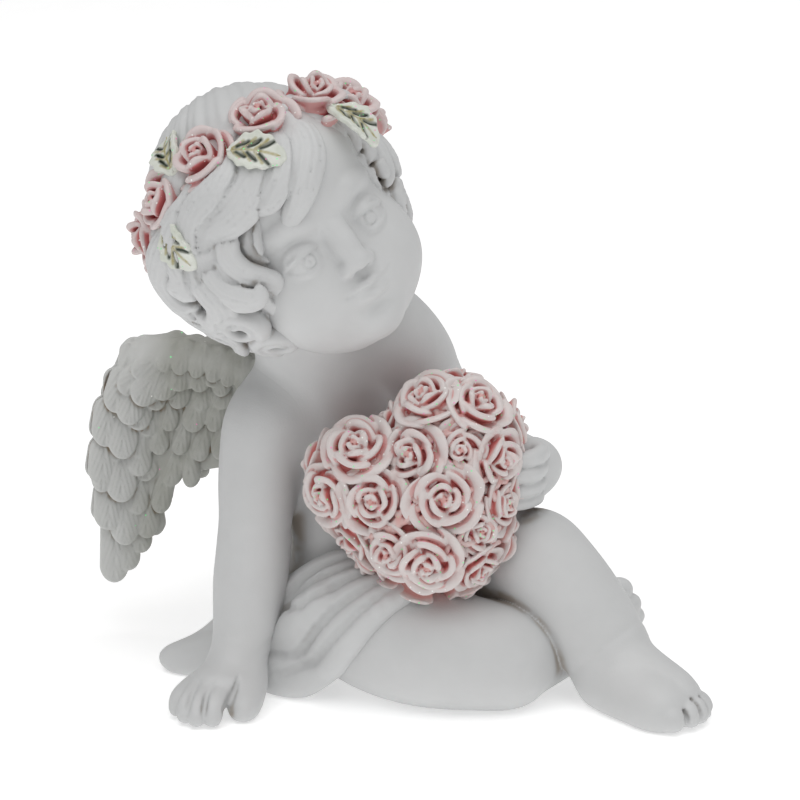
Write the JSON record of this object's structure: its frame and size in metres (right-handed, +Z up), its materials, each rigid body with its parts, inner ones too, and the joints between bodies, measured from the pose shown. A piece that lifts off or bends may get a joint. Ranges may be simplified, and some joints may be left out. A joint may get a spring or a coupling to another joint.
{
  "type": "resin angel figurine",
  "caption": "Seated winged cherub in matte white resin, leaning on one arm, with a crown of pink roses, holding a puffy heart covered with roses.",
  "frame": {"origin": "centre of the bounding box's underside, on the table", "axes": "+Z up, -Y towards a viewer of the display front, +X to that viewer's right"},
  "size_m": [0.112, 0.0889, 0.1122],
  "materials": {
    "white_resin": "matte, hand-rubbed, faint brown wash in the creases",
    "wing_resin": "matte with fine glitter on the feathers",
    "rose_resin": "pink wash in the folds, white dry-brushed rims, fine glitter",
    "leaf_resin": "white leaf with dark green wash in the veins, fine glitter"
  },
  "bodies": {
    "root": {"torso": "white_resin", "head": "white_resin", "hair": "white_resin", "right_arm": "white_resin", "left_arm": "white_resin", "right_leg": "white_resin", "left_leg": "white_resin", "loincloth": "white_resin", "right_wing": "wing_resin", "left_wing": "wing_resin", "heart_core": "rose_resin", "heart_rose_1": "rose_resin", "heart_rose_2": "rose_resin", "heart_rose_3": "rose_resin", "heart_rose_4": "rose_resin", "heart_rose_5": "rose_resin", "heart_rose_6": "rose_resin", "heart_rose_7": "rose_resin", "heart_rose_8": "rose_resin", "heart_rose_9": "rose_resin", "heart_rose_10": "rose_resin", "heart_rose_11": "rose_resin", "heart_rose_12": "rose_resin", "heart_rose_13": "rose_resin", "heart_rose_14": "rose_resin", "heart_rose_15": "rose_resin", "heart_rose_16": "rose_resin", "heart_rose_17": "rose_resin", "heart_rose_18": "rose_resin", "heart_rose_19": "rose_resin", "heart_rose_20": "rose_resin", "heart_rose_21": "rose_resin", "heart_rose_22": "rose_resin", "heart_rose_23": "rose_resin", "heart_rose_24": "rose_resin", "heart_rose_25": "rose_resin", "crown_rose_1": "rose_resin", "crown_rose_2": "rose_resin", "crown_rose_3": "rose_resin", "crown_rose_4": "rose_resin", "crown_rose_5": "rose_resin", "crown_rose_6": "rose_resin", "crown_rose_7": "rose_resin", "crown_rose_8": "rose_resin", "crown_rose_9": "rose_resin", "crown_rose_10": "rose_resin", "crown_rose_11": "rose_resin", "crown_rose_12": "rose_resin", "crown_leaf_1": "leaf_resin", "crown_leaf_2": "leaf_resin", "crown_leaf_3": "leaf_resin", "crown_leaf_4": "leaf_resin", "crown_leaf_5": "leaf_resin", "crown_leaf_6": "leaf_resin"}
  },
  "joints": []
}
